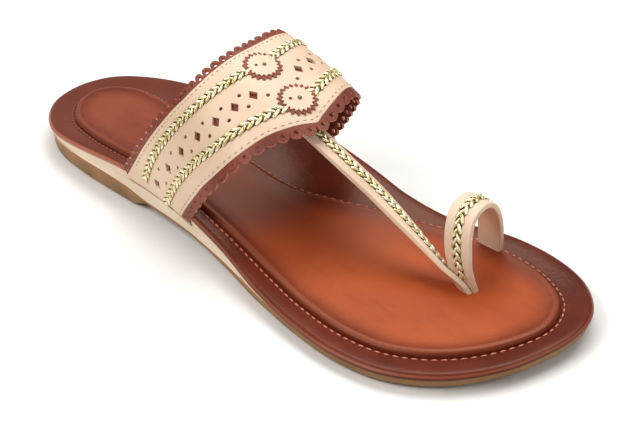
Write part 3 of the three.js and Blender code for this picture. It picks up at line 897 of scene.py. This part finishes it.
def flat_braid(name, line, surface, width=3.6, pitch=2.9):
    """A braid along a line of flat places, on the leather's face."""
    length = np.sum(np.linalg.norm(np.diff(line, axis=0), axis=1))
    count = int(round(length / pitch))
    path = even(line, count)
    way = unit(np.gradient(path, axis=0))
    up = np.tile(np.array((0.0, 0.0, 1.0)), (count + 1, 1))
    over = np.cross(way, up)
    strands = []
    for side in (-1, 1):
        lean = unit(way - over * SLANT * side)
        offset = path + over * (side * width * APART) + way * (pitch * 0.25 * side) + up * PROUD
        tile = new_bead("grain", (0.7, width * 0.54, 0.46), 10, 8)
        strands.append(repeat(name, tile, offset, np.cross(lean, up), lean, up))
    tape, square = new_grid(name, 4, count)
    at = square[:, 1] * count
    low = np.floor(at).astype(int).clip(0, count - 1)
    mid = path[low] + (path[low + 1] - path[low]) * (at - low)[:, None]
    arc = (square[:, 0] - 0.5) * 2
    shape = mid + over[low] * (arc * width * 0.47)[:, None] + up[low] * (0.3 - 0.26 * arc ** 4)[:, None]
    tape.data.vertices.foreach_set("co", shape.ravel())
    tape.data.update()
    close_up(tape, 1e-5)
    tape.data.materials.append(braid_gap_shade_finish)
    last_on(tape, surface)
    tape.name = name + "_tape"
    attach(tape, "root")
    bpy.ops.object.select_all(action="DESELECT")
    for strand in strands:
        strand.select_set(True)
    bpy.context.view_layer.objects.active = strands[0]
    bpy.ops.object.join()
    braid = strands[0]
    braid.data.materials.append(gold)
    last_on(braid, surface)
    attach(braid, "root")


braid_table = rows(
    "far rear front",
    (0, 8.6, 12.2), (8, 8.7, 11.4), (14, 8.9, 10.4), (22, 9.3, 9.2), (31, 9.7, 7.6), (40, 9.7, 6.1),
    (54, 9, 5.5), (64, 7.7, 6.2), (73, 5.8, 7.4), (80, 5, 8),
)
for name, side in (("rear", -1), ("front", 1)):
    at = column(braid_table, "far", name)
    for part, low, high in (("outer", -73.5, -6.4), ("inner", 6.6, 75)):
        far = np.linspace(low, high, 200)
        line = np.stack([side * at(np.abs(far)), far, 0 * far], -1)
        flat_braid(name + "_braid_" + part, line, lasted_band)


# ---- Rosettes: a pinked brown disc under a smaller pinked beige one, with a hole and a small stud ----
# They cover the ends of the braids on the band's middle line.
def pinked_disc(name, reach, tooth, shift, thick, above):
    """A flat disc with twenty teeth; a shift of 2 sets them half a tooth round."""
    steps = 80
    disc, square = new_grid(name, steps, 6)
    step = np.rint(square[:, 0] * steps).astype(int)
    angle = square[:, 0] * 2 * math.pi
    zigzag = np.abs(((step + shift) % 4) - 2) / 2
    edge = reach - tooth + tooth * zigzag
    near = edge * np.sqrt(square[:, 1])
    flat = np.stack([near * np.cos(angle), near * np.sin(angle), np.full(len(angle), above)], -1)
    disc.data.vertices.foreach_set("co", flat.ravel())
    disc.data.update()
    close_up(disc, 2e-3)
    thicken(disc, thick)
    return disc


brass, start = new_finish("dull_brass_stud", metallic=0.8, roughness=0.3)
feed(brass, base_color=start.mix(start.noise(600), tone(112, 104, 70), tone(150, 142, 104)))
# Each rosette's place across and along the band, and its size.
rosettes = ((-7.2, 0.8, 1.05), (11.3, 0.1, 0.96))
for number, (across, along, size) in enumerate(rosettes, 1):
    centre = np.array((across, along, 0))
    under = pinked_disc(f"rosette_{number}_brown", 7.0 * size, 1.3, 0, 0.4, 0.45)
    over = pinked_disc(f"rosette_{number}_beige", 5.5 * size, 0.9, 2, 0.35, 0.82)
    hole = punch("hole_punch", 12, (0.62, 0.62), np.array([(-1.1, -2.1, 0)]))
    finish_modifier(over, "BOOLEAN", operation="DIFFERENCE", object=hole, solver="EXACT")
    bpy.data.objects.remove(hole)
    for disc, finish, slot in ((under, brown, "brown_leather"), (over, beige, "beige_leather")):
        disc.data.materials.append(finish)
        disc.data.vertices.foreach_set("co", (points_of(disc) + centre).ravel())
        last_on(disc, lasted_band)
        bpy.context.view_layer.objects.active = disc
        disc.select_set(True)
        bpy.ops.object.shade_smooth_by_angle(angle=math.radians(38))
        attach(disc, "root")
    stud = new_bead(f"rosette_{number}_stud", (0.72, 0.72, 0.55), 20, 12)
    stud.data.vertices.foreach_set("co", (points_of(stud) + centre + np.array((0.3, 0.5, 0.95))).ravel())
    last_on(stud, lasted_band)
    bpy.ops.object.shade_smooth()
    stud.data.materials.append(brass)
    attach(stud, "root")


# ---- T-strap and toe ring: beige leather ribbons with a braid along the outer face ----
# The strap is sewn under the band's point and twists down to the slot between the toes; the ring's
# two legs go down into the bed, which is pressed down round them.
strap_table = rows(
    "at side up turn wide",
    (139, 1, 49, 0, 8), (150, 1.6, 43.2, 8, 8), (165, 3, 35.2, 21, 8), (180, 4.3, 27.2, 32, 8),
    (194, 4.5, 19.5, 48, 7.6), (206, 4.2, 12.9, 65, 6.8), (214.8, 4.6, 8, 80, 5.4),
    (217.4, 5.1, 4.5, 88, 4.6),
)


def ribbon_surface(centre, across):
    """A function that wraps a flat ribbon round a middle line with the given across directions."""
    far = np.concatenate([[0], np.cumsum(np.linalg.norm(np.diff(centre, axis=0), axis=1))])
    way = unit(np.gradient(centre, far, axis=0))
    up = unit(np.cross(across, way))
    over = unit(np.cross(way, up))

    def surface(flat):
        read = [
            np.stack([np.interp(flat[:, 1], far, part[:, k]) for k in range(3)], -1)
            for part in (centre, over, up)
        ]
        return read[0] + read[1] * flat[:, 0:1] + read[2] * flat[:, 2:3]

    return surface, far[-1]


def ribbon(name, surface, length, widths, thick):
    """A leather ribbon with rounded edges; its outer face is at half its thickness."""
    strip, square = new_grid(name, 12, int(length / 0.7))
    wide = np.interp(square[:, 1], np.linspace(0, 1, len(widths)), widths)
    flat = np.stack([(square[:, 0] - 0.5) * wide, square[:, 1] * length, np.full(len(square), thick / 2)], -1)
    strip.data.vertices.foreach_set("co", flat.ravel())
    strip.data.update()
    thicken(strip, thick)
    bevel = {"width": 0.45, "segments": 3, "limit_method": "ANGLE", "angle_limit": math.radians(50)}
    finish_modifier(strip, "BEVEL", **bevel)
    last_on(strip, surface)
    close_up(strip, 1e-6)
    strip.data.materials.append(beige)
    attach(strip, "root")


at = np.linspace(strap_table[0]["at"], strap_table[-1]["at"], 240)
twist = np.radians(column(strap_table, "at", "turn")(at))
strap_line = np.stack([at, column(strap_table, "at", "side")(at), column(strap_table, "at", "up")(at)], -1)
strap_wide = column(strap_table, "at", "wide")(at)
strap_line = np.column_stack([strap_line, np.sin(twist), -np.cos(twist), strap_wide])
far = np.concatenate([[0], np.cumsum(np.linalg.norm(np.diff(strap_line[:, :3], axis=0), axis=1))])
evenly = np.linspace(0, far[-1], 161)
strap_line = np.stack([np.interp(evenly, far, strap_line[:, k]) for k in range(6)], -1)
strap_across = np.column_stack([strap_line[:, 3:5], 0 * evenly])
strap_surface, strap_length = ribbon_surface(strap_line[:, :3], strap_across)
ribbon("t_strap_leather", strap_surface, strap_length, strap_line[:, 5], 1.8)
far = np.linspace(12, strap_length - 8, 100)
flat_braid("t_strap_braid", np.stack([-0.8 + 0 * far, far, 0.9 + 0 * far], -1), strap_surface, 3.4)

turn = np.linspace(-1, 1, 241)
angle = turn * math.pi / 2
ring_table = rows(
    "turn at wide lean",
    (-1, 217.7, 4.4, 2.2), (-0.85, 217, 5.2, 1.8), (-0.7, 215.7, 7.4, 1), (-0.55, 214, 9.4, 0.3),
    (-0.4, 212.6, 10.4, 0), (0, 208.6, 10.4, 0), (0.5, 206.4, 10.2, 0), (1, 205, 9.2, 0),
)
# The ring's middle and feet, and its arch's half width, height and fullness.
RING_MIDDLE, RING_FOOT = 16.8, 4.5
RING_REACH, RING_HEIGHT, RING_FULL = 12.1, 26.3, 2.5
flat = np.abs(np.sin(angle) / RING_REACH) ** RING_FULL + np.abs(np.cos(angle) / RING_HEIGHT) ** RING_FULL
reach = flat ** (-1 / RING_FULL)
ring_at = column(ring_table, "turn", "at")(turn)
ring_wide = column(ring_table, "turn", "wide")(turn)
ring_side = RING_MIDDLE + reach * np.sin(angle) + column(ring_table, "turn", "lean")(turn)
ring_line = np.stack([ring_at, ring_side, RING_FOOT + reach * np.cos(angle), ring_wide], -1)
far = np.concatenate([[0], np.cumsum(np.linalg.norm(np.diff(ring_line[:, :3], axis=0), axis=1))])
evenly = np.linspace(0, far[-1], 201)
ring_line = np.stack([np.interp(evenly, far, ring_line[:, k]) for k in range(4)], -1)
ring_across = np.tile(np.array((1.0, 0, 0)), (len(evenly), 1))
ring_surface, ring_length = ribbon_surface(ring_line[:, :3], ring_across)
ribbon("toe_ring_leather", ring_surface, ring_length, ring_line[:, 3], 1.9)
far = np.linspace(8, ring_length - 5, 100)
flat_braid("toe_ring_braid", np.stack([0.2 + 0 * far, far, 0.95 + 0 * far], -1), ring_surface, 3.6)


# ---- Edge stitching: a fine grey-pink thread just inside both edges of the band ----
EDGE_IN = 1.35


def sew(name, line, surface, pitch, size, finish):
    """Stitches at an even pitch along a line of flat places."""
    count = int(round(np.sum(np.linalg.norm(np.diff(line, axis=0), axis=1)) / pitch))
    path = even(line, count)
    way = unit(np.gradient(path, axis=0))
    up = np.tile(np.array((0.0, 0.0, 1.0)), (count + 1, 1))
    stitches = repeat(name, new_bead("stitch", size, 6, 5), path, np.cross(way, up), way, up)
    last_on(stitches, surface)
    stitches.data.materials.append(finish)
    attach(stitches, "root")


fine_thread, start = new_finish("grey_pink_thread", roughness=0.6)
twist = start.noise(1500, 2)
feed(fine_thread, base_color=start.mix(twist.step(0.3, 0.7), tone(164, 122, 104), tone(188, 146, 126)))
for name, side, table in (("rear", -1, rear_edge), ("front", 1, front_edge)):
    far = np.linspace(-74, 76, 300)
    line = np.stack([side * (table(np.abs(far)) - EDGE_IN), far, 0.06 + 0 * far], -1)
    line = line[lasted_band(line, True) < 1]
    sew(name + "_edge_stitches", line, lasted_band, 2.3, (0.16, 0.62, 0.14), fine_thread)
